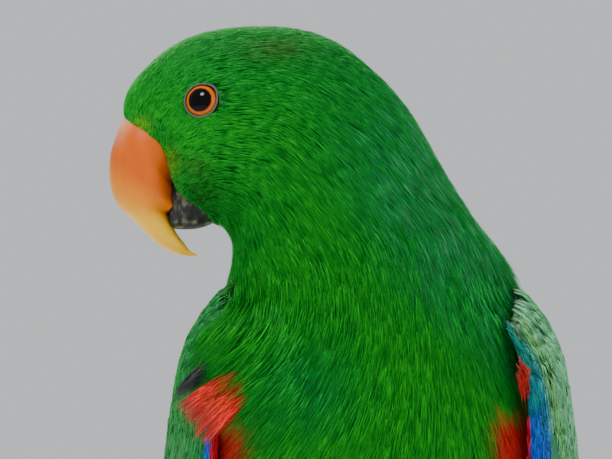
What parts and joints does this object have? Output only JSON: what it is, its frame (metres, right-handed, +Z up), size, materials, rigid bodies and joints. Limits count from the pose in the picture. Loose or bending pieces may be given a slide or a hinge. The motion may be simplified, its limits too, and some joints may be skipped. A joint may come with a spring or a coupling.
{
  "type": "perched parrot model",
  "caption": "Life-size male eclectus parrot gripping a short cut branch, head turned to its right, on a plain flat stand.",
  "frame": {"origin": "centre of the stand's underside, on the floor", "axes": "+Z up; the bird's breast faces -Y, its left is +X, and its head is turned to its right, towards -X"},
  "size_m": [0.152, 0.1767, 0.345],
  "materials": {
    "body_plumage": "soft green feathers",
    "flight_plumage": "smooth green and blue vanes",
    "bill_orange": "polished horn, orange to yellow at the tip",
    "bill_black": "dull black horn",
    "eye": "wet, orange round a black pupil",
    "foot_skin": "scaly grey skin",
    "claw": "black horn",
    "bark": "bare weathered branch",
    "base_wood": "dark satin lacquer",
    "rod_steel": "satin steel"
  },
  "bodies": {
    "root": {"claw_left_front_inner": "claw", "claw_left_front_outer": "claw", "claw_left_hind_inner": "claw", "claw_left_hind_outer": "claw", "claw_right_front_inner": "claw", "claw_right_front_outer": "claw", "claw_right_hind_inner": "claw", "claw_right_hind_outer": "claw", "eye_left": "eye", "eye_right": "eye", "foot_left": "foot_skin", "foot_right": "foot_skin", "head": "body_plumage", "leg_left": "body_plumage", "leg_right": "body_plumage", "lower_bill": "bill_black", "neck": "body_plumage", "perch": "bark", "stand_base": "base_wood", "stand_rod_left": "rod_steel", "stand_rod_right": "rod_steel", "tail": "flight_plumage", "torso": "body_plumage", "upper_bill": "bill_orange", "wing_left": "flight_plumage", "wing_right": "flight_plumage"}
  },
  "joints": []
}
